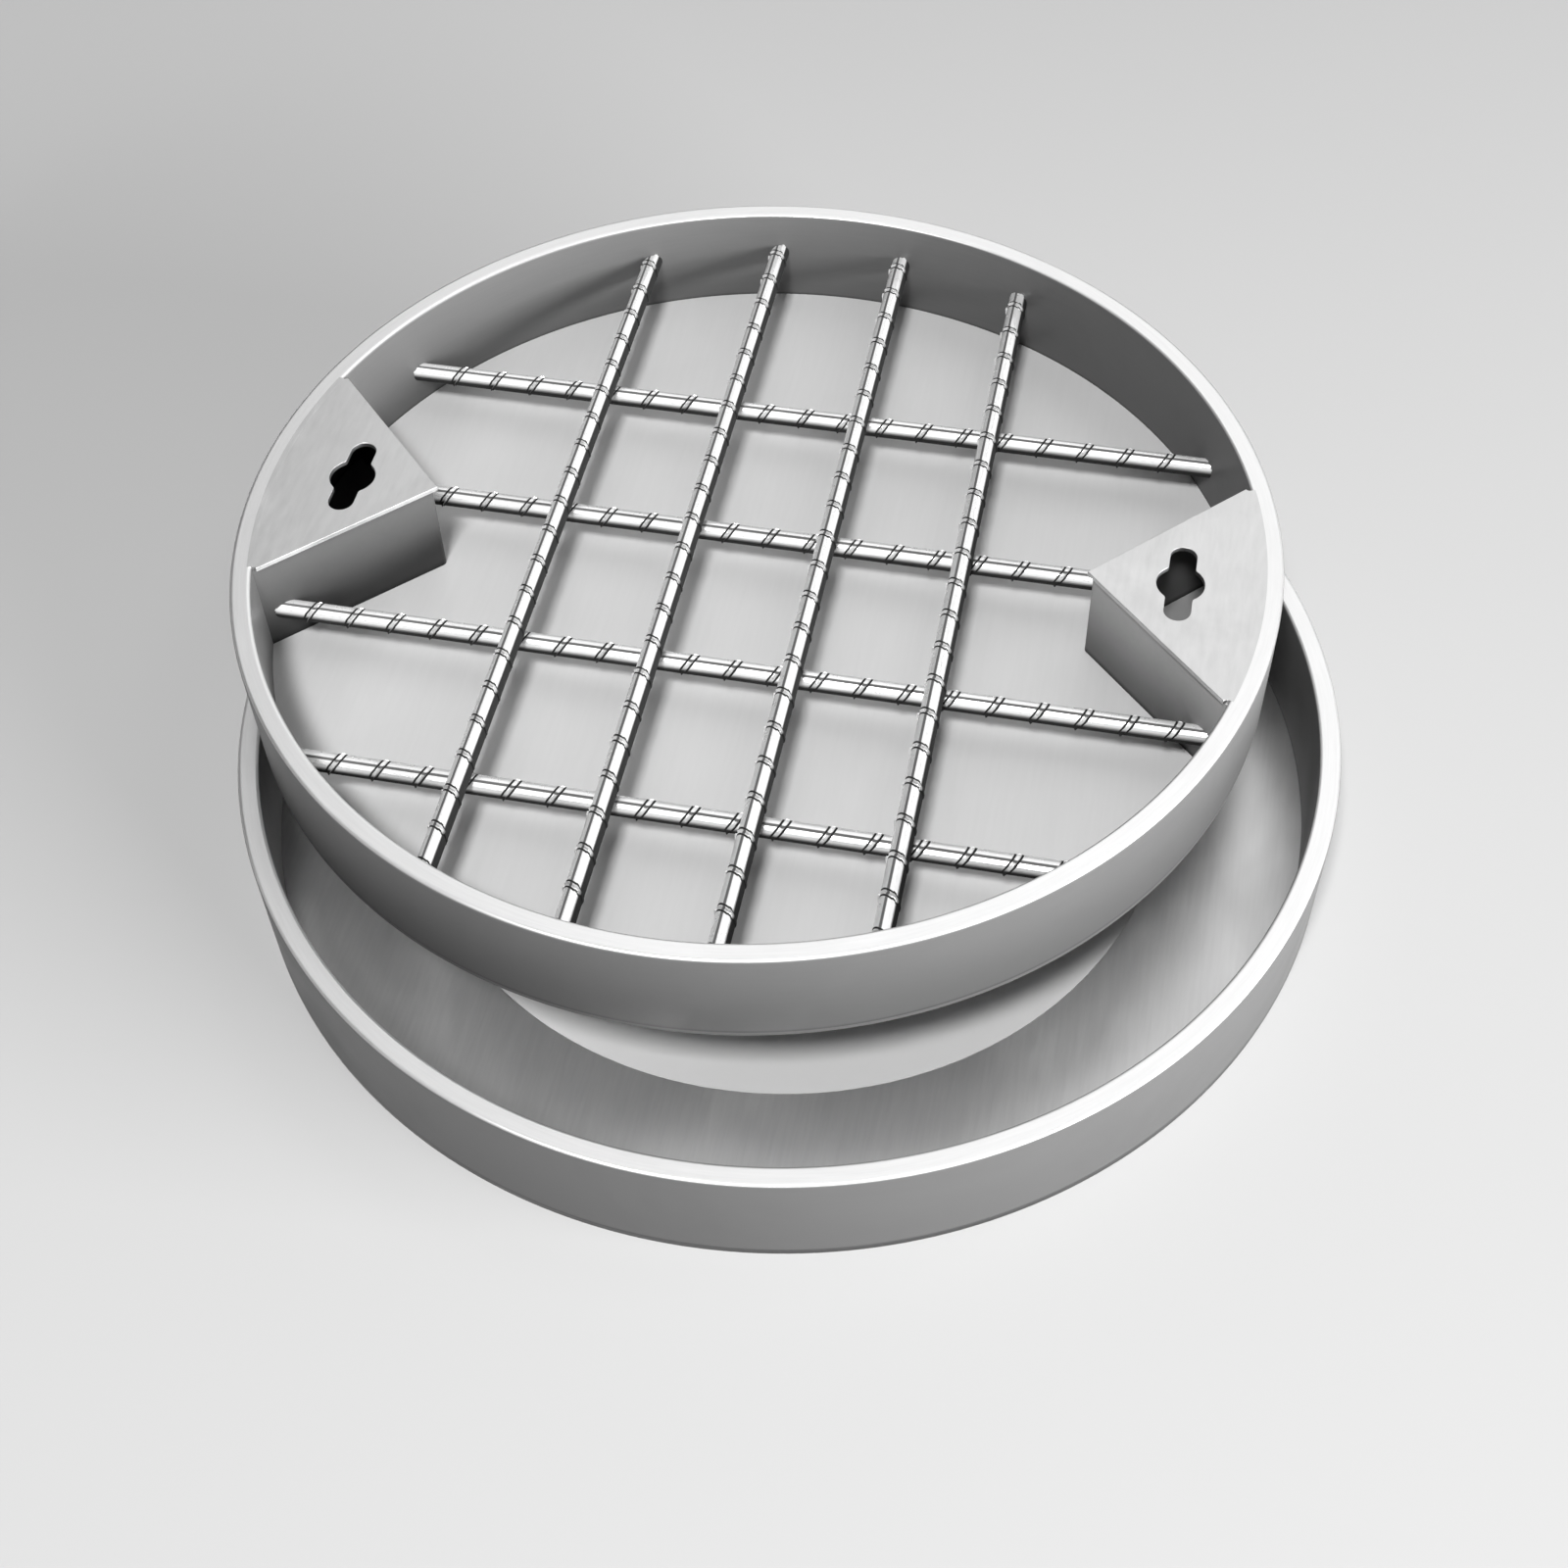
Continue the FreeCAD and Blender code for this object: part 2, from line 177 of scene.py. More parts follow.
def ring_edge_group():
    """A mask of a round plate's upright edge, from how far out it lies."""
    tree, given = new_group("ring_edge", "ShaderNodeTree",
                            {"Vector": "Vector", "Middle": "Vector", "Radius": "Float"}, {"Mask": "Float"})
    from_middle = vector_result(tree, "SUBTRACT", given["Vector"], given["Middle"])
    radius = vector_length(tree, vector_result(tree, "MULTIPLY", from_middle, (1, 1, 0)))
    add(tree, "NodeGroupOutput", {"Mask": calculate(tree, "GREATER_THAN", radius, given["Radius"])})
    return tree


sheet_grain = sheet_grain_group()
ring_edge = ring_edge_group()
handling_marks = handling_marks_group()
steel_finish = steel_finish_group()


def new_steel(name, metallic):
    """A bare steel: the material, its nodes, its shader and the piece's own coordinates."""
    material = bpy.data.materials.new(name)
    material.use_nodes = True
    tree = material.node_tree
    tree.nodes.clear()
    shader = add(tree, "ShaderNodeBsdfPrincipled",
                 {"Metallic": metallic, "Specular IOR Level": STEEL_SPECULAR})
    add(tree, "ShaderNodeOutputMaterial", {"Surface": shader.outputs[0]})
    return material, tree, shader, add(tree, "ShaderNodeTexCoord").outputs["Object"]


def edged_tone(tree, spot, middle, radius, face_tone):
    """A round plate's tone, with its upright outer edge painted dark as a shade, as dark as the walls."""
    inside = radius - EDGE_DEPTH
    edge = use_group(tree, ring_edge, {"Vector": spot, "Middle": middle, "Radius": inside})["Mask"]
    return blend(tree, edge, face_tone, EDGE_TONE)


def dress_steel(tree, shader, spot, grain, tone, roughness, *,
                tone_change, roughness_change, mark_scale, relief):
    """Joins grain and handling marks to a steel's colour, roughness and bump."""
    mark = use_group(tree, handling_marks, {"Vector": spot, "Scale": mark_scale})["Mark"]
    finish = use_group(tree, steel_finish, {
        "Grain": grain, "Mark": mark, "Tone": tone, "Tone Change": tone_change,
        "Roughness": roughness, "Roughness Change": roughness_change})
    bump = add(tree, "ShaderNodeBump", {"Height": grain, "Strength": relief, "Distance": GRAIN_HEIGHT})
    tree.links.new(finish["Tone"], shader.inputs["Base Color"])
    tree.links.new(finish["Roughness"], shader.inputs["Roughness"])
    tree.links.new(bump.outputs["Normal"], shader.inputs["Normal"])


def finish_piece(name, shape, steel, crease=CREASE):
    """Turns a bmesh into a piece with closed seams, smooth curves and crisp edges."""
    bmesh.ops.remove_doubles(shape, verts=shape.verts, dist=SAME_PLACE)
    bmesh.ops.recalc_face_normals(shape, faces=shape.faces)
    mesh = bpy.data.meshes.new(name)
    shape.to_mesh(mesh)
    shape.free()
    mesh.shade_smooth()
    mesh.set_sharp_from_angle(angle=crease)
    mesh.materials.append(steel)
    piece = bpy.data.objects.new(name, mesh)
    bpy.context.scene.collection.objects.link(piece)
    return piece


def turned(section, middle):
    """A closed section of (radius, height) points, turned about an upright axis."""
    shape = bmesh.new()
    turns = []
    for step in range(ROUND_STEPS):
        angle = math.tau * step / ROUND_STEPS
        out = Vector((math.cos(angle), math.sin(angle), 0))
        places = [middle + out * radius + Vector((0, 0, height)) for radius, height in section]
        turns.append([shape.verts.new(place) for place in places])
    for step, turn in enumerate(turns):
        after = turns[(step + 1) % ROUND_STEPS]
        for index, corner in enumerate(turn):
            ahead = (index + 1) % len(section)
            shape.faces.new((corner, after[index], after[ahead], turn[ahead]))
    return shape


seat_low, seat_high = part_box("seat_ring")
frame_middle = Vector((0, 0, 0))
frame_radius = seat_high.x

mill_steel, tree, shader, spot = new_steel("seat_mill_steel", SEAT_METALLIC)
grain = use_group(tree, sheet_grain, {"Vector": spot, **SEAT_GRAIN})["Grain"]
tone = edged_tone(tree, spot, frame_middle, frame_radius, SEAT_TONE)
dress_steel(tree, shader, spot, grain, tone, SEAT_ROUGHNESS, **SEAT_FINISH)

seat_ring = finish_piece("seat_plate", turned([
    (frame_radius, seat_low.z), (frame_radius, seat_high.z),
    (SEAT_HOLE_RADIUS + EDGE_BREAK, seat_high.z), (SEAT_HOLE_RADIUS, seat_high.z - EDGE_BREAK),
    (SEAT_HOLE_RADIUS, seat_low.z + EDGE_BREAK), (SEAT_HOLE_RADIUS + EDGE_BREAK, seat_low.z),
], frame_middle), mill_steel)
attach(seat_ring, "root")
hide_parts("seat_ring")

# Frame ring: 1.5 mm stainless sheet folded over a flat rim into two walls, then rolled to a ring.
# Its rim is ground bright, and its walls keep the darker pickled finish of the sheet; their dark tone is also
# partly a painted shade, and they carry more painted shade towards their foot.
# It stays in the paving, welded on the seat ring.

RIM_WIDTH = 0.012
SHEET = 0.0015
BEND_INSIDE = 0.0005
FOLD_STEPS = 6
FLAT_LEAD = 0.0005
GROUND_DEPTH = 0.0012
RIM_TONE = 0.92
RIM_ROUGHNESS = 0.38
RIM_METALLIC = 1.0
# The walls' dark tone is partly a painted shade, dark against the bright rim of the same sheet.
FRAME_WALL_TONE = 0.115
# Painted shade towards the walls' foot.
FRAME_STAIN = 0.15
WALL_ROUGHNESS = 0.46
WALL_METALLIC = 0.1
# A thin painted shadow line along the walls' foot.
WALL_LINE = 0.5
WALL_LINE_REACH = 0.0025
RING_GRAIN = {"Across": 700.0, "Around": 9.0}
RING_GRAIN_ROUGHNESS = 0.62
RING_FINISH = {"tone_change": 0.14, "roughness_change": 0.10, "mark_scale": 7.0, "relief": 0.08}


def scaled(tree, vector, factor):
    """A vector times a value."""
    sockets = {0: vector, "Scale": factor}
    return add(tree, "ShaderNodeVectorMath", sockets, operation="SCALE").outputs["Vector"]


def ring_grain_group():
    """Streaks that run round a ring, as rolling and grinding leave them."""
    tree, given = new_group("ring_grain", "ShaderNodeTree",
                            {"Vector": "Vector", "Middle": "Vector", "Across": "Float", "Around": "Float"},
                            {"Grain": "Float"})
    parts = parts_of(tree, vector_result(tree, "SUBTRACT", given["Vector"], given["Middle"]))
    level = add(tree, "ShaderNodeCombineXYZ", {"X": parts["X"], "Y": parts["Y"]}).outputs[0]
    outwards = calculate(tree, "ADD", vector_length(tree, level), parts["Z"])
    around = parts_of(tree, scaled(tree, vector_result(tree, "NORMALIZE", level), given["Around"]))
    place = add(tree, "ShaderNodeCombineXYZ", {
        "X": calculate(tree, "MULTIPLY", outwards, given["Across"]),
        "Y": around["X"], "Z": around["Y"]}).outputs[0]
    add(tree, "NodeGroupOutput", {"Grain": grain_streaks(tree, place, RING_GRAIN_ROUGHNESS)})
    return tree


def ground_rim_group():
    """A mask of the rim's ground face, from its height down over the upper part of the folds."""
    tree, given = new_group("ground_rim", "ShaderNodeTree",
                            {"Vector": "Vector", "Rim Top": "Float", "Depth": "Float"}, {"Mask": "Float"})
    height = parts_of(tree, given["Vector"])["Z"]
    low = calculate(tree, "SUBTRACT", given["Rim Top"], given["Depth"])
    add(tree, "NodeGroupOutput", {"Mask": soft_step(tree, height, low, given["Rim Top"])})
    return tree


def corner_grime_group():
    """Painted shade on a steel towards its foot: a wide soft darkening, and a thin painted shadow line at the
    foot itself.
    """
    tree, given = new_group("corner_grime", "ShaderNodeTree",
                            {"Vector": "Vector", "Tone": "Float", "Foot": "Float", "Reach": "Float",
                             "Stain": "Float", "Line": "Float", "Line Reach": "Float"}, {"Tone": "Float"})
    height = parts_of(tree, given["Vector"])["Z"]
    tone = given["Tone"]
    for reach, strength in ((given["Reach"], given["Stain"]), (given["Line Reach"], given["Line"])):
        top = calculate(tree, "ADD", given["Foot"], reach)
        kept = calculate(tree, "SUBTRACT", 1.0, strength)
        tone = calculate(tree, "MULTIPLY", tone, soft_step(tree, height, given["Foot"], top, kept))
    add(tree, "NodeGroupOutput", {"Tone": tone})
    return tree


ring_grain = ring_grain_group()
corner_grime = corner_grime_group()
ground_rim = ground_rim_group()


def ring_steel(name, middle, foot, rim_top, wall_tone, stain):
    """Dark pickled walls, their tone partly a painted shade, darker towards their foot as painted shade,
    under a rim that is ground bright.
    """
    material, tree, shader, spot = new_steel(name, WALL_METALLIC)
    grain = use_group(tree, ring_grain, {"Vector": spot, "Middle": middle, **RING_GRAIN})["Grain"]
    ground = use_group(tree, ground_rim, {"Vector": spot, "Rim Top": rim_top, "Depth": GROUND_DEPTH})["Mask"]
    # Painted shade towards the walls' foot, and a painted shadow line at the foot.
    tone = use_group(tree, corner_grime, {
        "Vector": spot, "Tone": blend(tree, ground, wall_tone, RIM_TONE),
        "Foot": foot, "Reach": rim_top - foot, "Stain": stain,
        "Line": WALL_LINE, "Line Reach": WALL_LINE_REACH})["Tone"]
    roughness = blend(tree, ground, WALL_ROUGHNESS, RIM_ROUGHNESS)
    tree.links.new(blend(tree, ground, WALL_METALLIC, RIM_METALLIC), shader.inputs["Metallic"])
    dress_steel(tree, shader, spot, grain, tone, roughness, **RING_FINISH)
    return material


def arc(middle, radius, start, end, steps):
    """Points along an arc, with its angles in degrees."""
    points = []
    for step in range(steps + 1):
        angle = math.radians(start + (end - start) * step / steps)
        points.append((middle[0] + radius * math.cos(angle), middle[1] + radius * math.sin(angle)))
    return points


def folded_section(outer, foot, top):
    """Section of the folded sheet: up the outer wall, over the rim, down the inner wall, and back inside."""
    inner = outer - RIM_WIDTH
    bend_outside = BEND_INSIDE + SHEET
    bend_height = top - bend_outside
    outer_bend = (outer - bend_outside, bend_height)
    inner_bend = (inner + bend_outside, bend_height)
    return [
        (outer, foot), (outer, bend_height - FLAT_LEAD),
        *arc(outer_bend, bend_outside, 0, 90, FOLD_STEPS),
        (outer_bend[0] - FLAT_LEAD, top), (inner_bend[0] + FLAT_LEAD, top),
        *arc(inner_bend, bend_outside, 90, 180, FOLD_STEPS),
        (inner, bend_height - FLAT_LEAD), (inner, foot), (inner + SHEET, foot),
        *arc(inner_bend, BEND_INSIDE, 180, 90, FOLD_STEPS),
        *arc(outer_bend, BEND_INSIDE, 90, 0, FOLD_STEPS),
        (outer - SHEET, foot),
    ]


frame_low, frame_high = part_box("frame_ring")
frame_ring = finish_piece(
    "frame_folded_ring", turned(folded_section(frame_radius, frame_low.z, frame_high.z), frame_middle),
    ring_steel("frame_ring_steel", frame_middle, frame_low.z, frame_high.z, FRAME_WALL_TONE, FRAME_STAIN))
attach(frame_ring, "root")
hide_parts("frame_ring")

# Tray floor: a round of 3 mm stainless plate, the bottom of the lift-out tray.
# It lies on the frame's rim here, slid back, and its matte mill finish is the palest plain area.
# The tray's wall, the key boxes and the infill all stand on it.

FLOOR_TONE = 0.65
FLOOR_ROUGHNESS = 0.52
FLOOR_METALLIC = 0.3
FLOOR_GRAIN = {"Across": 360.0, "Along": 22.0}
FLOOR_FINISH = {"tone_change": 0.07, "roughness_change": 0.08, "mark_scale": 8.0, "relief": 0.04}
FLOOR_RINGS = (0.1, 0.2, 0.287)
# The floor inside each closed key box is painted darker, as a painted shade.
POCKET_TONE = 0.3
POCKET_CORNER = 0.1945

floor_low, floor_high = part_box("cover_floor")
tray_middle = Vector(((floor_low.x + floor_high.x) / 2, (floor_low.y + floor_high.y) / 2, 0))
cover_radius = (floor_high.x - floor_low.x) / 2

floor_steel, tree, shader, spot = new_steel("tray_floor_steel", FLOOR_METALLIC)
grain = use_group(tree, sheet_grain, {"Vector": spot, **FLOOR_GRAIN})["Grain"]
from_middle = vector_result(tree, "SUBTRACT", spot, tray_middle)
aside = parts_of(tree, vector_result(tree, "ABSOLUTE", from_middle))
towards_box = calculate(tree, "SUBTRACT", aside["X"], aside["Y"])
# Painted shade on the floor under the key boxes.
pocket = calculate(tree, "GREATER_THAN", towards_box, POCKET_CORNER)
face_tone = blend(tree, pocket, FLOOR_TONE, POCKET_TONE)
tone = edged_tone(tree, spot, tray_middle, cover_radius, face_tone)
dress_steel(tree, shader, spot, grain, tone, FLOOR_ROUGHNESS, **FLOOR_FINISH)

tray_floor = finish_piece("tray_floor_plate", turned([
    (0, floor_low.z), (cover_radius - EDGE_BREAK, floor_low.z), (cover_radius, floor_low.z + EDGE_BREAK),
    (cover_radius, floor_high.z), *[(radius, floor_high.z) for radius in reversed(FLOOR_RINGS)],
    (0, floor_high.z),
], tray_middle), floor_steel)
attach(tray_floor, "root")
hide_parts("cover_floor")

# Tray wall: the same folded sheet as the frame's ring, a little smaller, so that it drops into it.
# Its rim is ground bright too, level with the frame's rim when the tray is shut.
# It is welded to the tray floor all round.

# The tray wall's dark tone is partly a painted shade too, and it carries painted shade towards its foot.
TRAY_WALL_TONE = 0.125
TRAY_STAIN = 0.3

wall_low, wall_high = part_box("cover_wall")
tray_wall = finish_piece(
    "tray_folded_ring", turned(folded_section(cover_radius, wall_low.z, wall_high.z), tray_middle),
    ring_steel("tray_ring_steel", tray_middle, wall_low.z, wall_high.z, TRAY_WALL_TONE, TRAY_STAIN))
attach(tray_wall, "root")
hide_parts("cover_wall")

# Key skirts: strips of 1.5 mm sheet folded to a right angle, one at each side of the tray.
# Each stands on the floor with its fold towards the middle and is welded to the wall at both ends.
# They shut the key boxes off from the infill.

KEY_DEPTH = 0.097
KEY_PLATE = 0.003
KEY_OVERHANG = 0.0015
SKIRT_FOLD_INSIDE = 0.002
# The left skirt is painted darker and the right one paler: painted shade and painted light that even out the
# low light from the right.
SKIRT_TONES = {"left": 0.105, "right": 0.44}
# Painted shade towards the skirts' foot, and a painted shadow line along it.
SKIRT_STAIN = 0.8
SKIRT_LINE = 0.9
SKIRT_LINE_REACH = 0.005
SKIRT_ROUGHNESS = 0.44
SKIRT_METALLIC = 0.15
SKIRT_GRAIN = {"Across": 300.0, "Along": 300.0}
SKIRT_FINISH = {"tone_change": 0.12, "roughness_change": 0.10, "mark_scale": 16.0, "relief": 0.05}
SIDES = {"left": -1, "right": 1}
LEG_WAY = Vector((1, 1)).normalized()

tray_radius = cover_radius - RIM_WIDTH
key_corner = tray_radius - KEY_DEPTH
skirt_corner = key_corner + KEY_OVERHANG * math.sqrt(2)


def to_wall(start, way):
    """Where a level line from a point meets the tray's wall."""
    along = start.dot(way)
    return start + way * (math.sqrt(along ** 2 - start.length_squared + tray_radius ** 2) - along)


def in_tray(point, side, height):
    """A point given for the right side, placed in the tray on its own side."""
    return tray_middle + Vector((point[0] * SIDES[side], point[1] * SIDES[side], height))


def upright_wall(outline, side, low, high):
    """An outline in plan, raised to a wall or block."""
    shape = bmesh.new()
    feet = [shape.verts.new(in_tray(point, side, low)) for point in outline]
    heads = [shape.verts.new(in_tray(point, side, high)) for point in outline]
    shape.faces.new(feet)
    shape.faces.new(heads)
    for index in range(len(outline)):
        ahead = (index + 1) % len(outline)
        shape.faces.new((feet[index], feet[ahead], heads[ahead], heads[index]))
    return shape


def leg_end(point):
    """Where the straight leg that leaves the fold at a point meets the tray's wall."""
    way = Vector((LEG_WAY.x, math.copysign(LEG_WAY.y, point[1])))
    return tuple(to_wall(Vector(point), way))


def skirt_outline():
    """The folded strip in plan: its outside face from wall to wall, then its inside face back."""
    fold_outside = SKIRT_FOLD_INSIDE + SHEET
    fold_middle = (skirt_corner + fold_outside * math.sqrt(2), 0)
    outline = []
    for radius, start, end in ((fold_outside, 135, 225), (SKIRT_FOLD_INSIDE, 225, 135)):
        fold = arc(fold_middle, radius, start, end, FOLD_STEPS * 2)
        outline += [leg_end(fold[0]), *fold, leg_end(fold[-1])]
    return outline


def skirt_steel(side):
    """Dull sheet, darker towards the floor as painted shade and with a painted shadow line along its foot;
    the right one is painted paler and the left darker, to even out the low light from the right.
    """
    material, tree, shader, spot = new_steel(f"key_skirt_{side}_steel", SKIRT_METALLIC)
    grain = use_group(tree, sheet_grain, {"Vector": spot, **SKIRT_GRAIN})["Grain"]
    tone = use_group(tree, corner_grime, {
        "Vector": spot, "Tone": SKIRT_TONES[side], "Foot": floor_high.z,
        "Reach": wall_high.z - floor_high.z, "Stain": SKIRT_STAIN,
        "Line": SKIRT_LINE, "Line Reach": SKIRT_LINE_REACH})["Tone"]
    dress_steel(tree, shader, spot, grain, tone, SKIRT_ROUGHNESS, **SKIRT_FINISH)
    return material


for side in SIDES:
    skirt = finish_piece(
        f"key_box_skirt_{side}",
        upright_wall(skirt_outline(), side, floor_high.z, wall_high.z - KEY_PLATE), skirt_steel(side))
    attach(skirt, "root")
    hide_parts(f"key_skirt_{side}")

# Key plates: triangles of 3 mm plate on the skirts, flush with the tray's rim.
# Each has a keyhole with round ends and a wider middle for a T-shaped lifting key.
# Their faces are brushed by hand, and small reliefs clear the rim's weld at two corners.

KEYHOLE_INSET = 0.045
KEYHOLE_WIDTH = 0.015
KEYHOLE_LENGTH = 0.057
KEYHOLE_MIDDLE = 0.027
KEYHOLE_BLEND = 0.0025
CORNER_RELIEF = 0.003
PLATE_EDGE = 0.0003
PLATE_EDGE_STEPS = 2
PLATE_CREASE = math.radians(8)
WALL_STEPS = 40
HOLE_STEPS = 24
PLATE_TONE = 0.72
PLATE_ROUGHNESS = 0.38
PLATE_METALLIC = 1.0
PLATE_GRAIN = {"Across": 240.0, "Along": 45.0}
PLATE_FINISH = {"tone_change": 0.24, "roughness_change": 0.16, "mark_scale": 18.0, "relief": 0.10}


def keyhole_outline():
    """The keyhole about its own middle, with its round middle blended into both ends."""
    half_width = KEYHOLE_WIDTH / 2
    lobe = KEYHOLE_MIDDLE / 2
    end = (KEYHOLE_LENGTH - KEYHOLE_WIDTH) / 2
    blend_x = half_width + KEYHOLE_BLEND
    blend_y = math.sqrt((lobe + KEYHOLE_BLEND) ** 2 - blend_x ** 2)
    meet = math.degrees(math.atan2(blend_y, blend_x))
    half = [
        *arc((0, 0), lobe, -meet, meet, HOLE_STEPS),
        *arc((blend_x, blend_y), KEYHOLE_BLEND, 180 + meet, 180, HOLE_STEPS // 2),
        *arc((0, end), half_width, 0, 180, HOLE_STEPS),
        *arc((-blend_x, blend_y), KEYHOLE_BLEND, 0, -meet, HOLE_STEPS // 2),
    ]
    return half + [(-x, -y) for x, y in half]


def plate_outline():
    """The plate in plan: its point, one straight edge, a relief, the wall's curve, and the same back."""
    corner = to_wall(Vector((key_corner, 0)), LEG_WAY)
    turn = math.degrees(math.atan2(corner.y, corner.x))
    relief_turn = math.degrees(CORNER_RELIEF / tray_radius)
    relief = arc(corner, CORNER_RELIEF, 225, 270 + turn, HOLE_STEPS // 2)
    curve = arc((0, 0), tray_radius, turn - relief_turn, relief_turn - turn, WALL_STEPS)
    back = [(x, -y) for x, y in reversed(relief)]
    return [(key_corner, 0), *relief, *curve[1:-1], *back]


def plate_shape(side):
    """The plate as a flat curve with a hole, thickened, with its edges broken."""
    hole_middle = tray_radius - KEYHOLE_INSET
    curve = bpy.data.curves.new("key_plate_outline", "CURVE")
    curve.dimensions = "2D"
    curve.fill_mode = "BOTH"
    curve.extrude = KEY_PLATE / 2 - PLATE_EDGE
    curve.bevel_depth = PLATE_EDGE
    curve.bevel_resolution = PLATE_EDGE_STEPS
    curve.offset = -PLATE_EDGE
    for outline in (plate_outline(), [(hole_middle + x, y) for x, y in keyhole_outline()]):
        spline = curve.splines.new("POLY")
        spline.points.add(len(outline) - 1)
        for point, (x, y) in zip(spline.points, outline):
            point.co = (x * SIDES[side], y * SIDES[side], 0, 1)
        spline.use_cyclic_u = True
    flat = bpy.data.objects.new("key_plate_outline", curve)
    bpy.context.scene.collection.objects.link(flat)
    bpy.context.view_layer.update()
    mesh = bpy.data.meshes.new_from_object(flat.evaluated_get(bpy.context.evaluated_depsgraph_get()))
    bpy.data.objects.remove(flat)
    mesh.transform(Matrix.Translation(tray_middle + Vector((0, 0, wall_high.z - KEY_PLATE / 2))))
    shape = bmesh.new()
    shape.from_mesh(mesh)
    bpy.data.meshes.remove(mesh)
    return shape


plate_steel, tree, shader, spot = new_steel("key_plate_steel", PLATE_METALLIC)
grain = use_group(tree, sheet_grain, {"Vector": spot, **PLATE_GRAIN})["Grain"]
dress_steel(tree, shader, spot, grain, PLATE_TONE, PLATE_ROUGHNESS, **PLATE_FINISH)

for side in SIDES:
    plate = finish_piece(f"key_box_plate_{side}", plate_shape(side), plate_steel, PLATE_CREASE)
    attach(plate, "root")
    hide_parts(f"key_plate_{side}")

# Rim welds: the fold beside each key plate is filled with weld and ground flush with the rim.
# They make the plate and the rim read as one surface.

WELD_LAP = 0.0006
WELD_DEPTH = 0.0022
WELD_PROUD = 0.00004


def rim_weld_outline():
    """The filled fold in plan, from one relief of the plate to the other."""
    corner = to_wall(Vector((key_corner, 0)), LEG_WAY)
    turn = math.degrees(math.atan2(corner.y, corner.x)) - math.degrees(CORNER_RELIEF / tray_radius)
    outside = tray_radius + BEND_INSIDE + SHEET + WELD_LAP
    return [*arc((0, 0), outside, -turn, turn, WALL_STEPS),
            *arc((0, 0), tray_radius - WELD_LAP, turn, -turn, WALL_STEPS)]


weld_foot = wall_high.z - WELD_DEPTH
weld_top = wall_high.z + WELD_PROUD
for side in SIDES:
    weld = finish_piece(
        f"key_box_rim_weld_{side}", upright_wall(rim_weld_outline(), side, weld_foot, weld_top), plate_steel)
    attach(weld, "root")

# Ribbed bars: bright 12 mm reinforcing bar with a seam along each side and leaning crescent ribs.
# Four long bars run from wall to wall or key box, and four cross bars lie over them.
# They are cut to the wall's curve and welded, and hold the infill in the tray.

BAR_CORE_RADIUS = 0.0058
BAR_STEPS = 32
RIB_HEIGHT = 0.001
RIB_WIDTH = 0.0018
RIB_FLANK = 0.0007
RIB_BITE = 0.0006
RIB_PITCH = 0.025
RIB_LEAN = math.radians(32)
RIB_GAP = math.radians(10)
RIB_POINTS = 11
SEAM_HEIGHT = 0.0008
SEAM_WIDTH = 0.0016
SEAM_FLANK = 0.0005
SEAM_FOOT_SHARE = 0.15
LONG_BAR_ROLL = math.radians(55)
CROSS_BAR_ROLL = math.radians(22)
BAR_LIFT = 0.016
CROSSING_GAP = 0.0012
LONG_BAR_PITCH = 0.107
LONG_BAR_SHIFT = -0.019
CROSS_BAR_PITCH = 0.081
CROSS_BAR_SHIFT = -0.004
BARS_EACH_WAY = 4
BAR_SINK = 0.0002
FAR_AWAY = 10.0
BAR_TONE = 0.95
BAR_ROUGHNESS = 0.26
BAR_METALLIC = 0.5
BAR_GRAIN = {"Across": 260.0, "Along": 260.0}
BAR_FINISH = {"tone_change": 0.12, "roughness_change": 0.08, "mark_scale": 30.0, "relief": 0.02}
# Painted shade on the bars: one dark, rough, non-metallic tone for their lower right side, their ribs' feet
# and the painted dark reflection lines along them.
SCALE_TONE = 0.012
SCALE_ROUGHNESS = 0.8
SCALE_METALLIC = 0.0
# The side of each bar that is painted dark as a shade, and how far round that painted shade runs.
SCALE_WAY = Vector((0.85, -0.40, -0.35)).normalized()
SCALE_START = 0.2
SCALE_FULL = 0.34
# Painted shade lines at the feet of the ribs.
ROOT_LINE_PLACE = 0.0017
ROOT_LINE_HALF = 0.00045
# A painted reflection: a dark line along each side of a bar's crown.
ROLL_LINE_PLACE = 0.0036
ROLL_LINE_HALF = 0.0005
ROLL_LINE_STRENGTH = 0.88
LINE_SOFT = 0.0003


def straight_step(tree, value, start, end):
    """A straight rise from 0 to 1 while a value goes from start to end."""
    return add(tree, "ShaderNodeMapRange", {"Value": value, "From Min": start, "From Max": end}).outputs[0]


def scale_line(tree, distance, place, half_width):
    """A mask of a thin painted dark line at a given distance."""
    off_line = calculate(tree, "ABSOLUTE", calculate(tree, "SUBTRACT", distance, place))
    return straight_step(tree, off_line, half_width + LINE_SOFT, half_width)


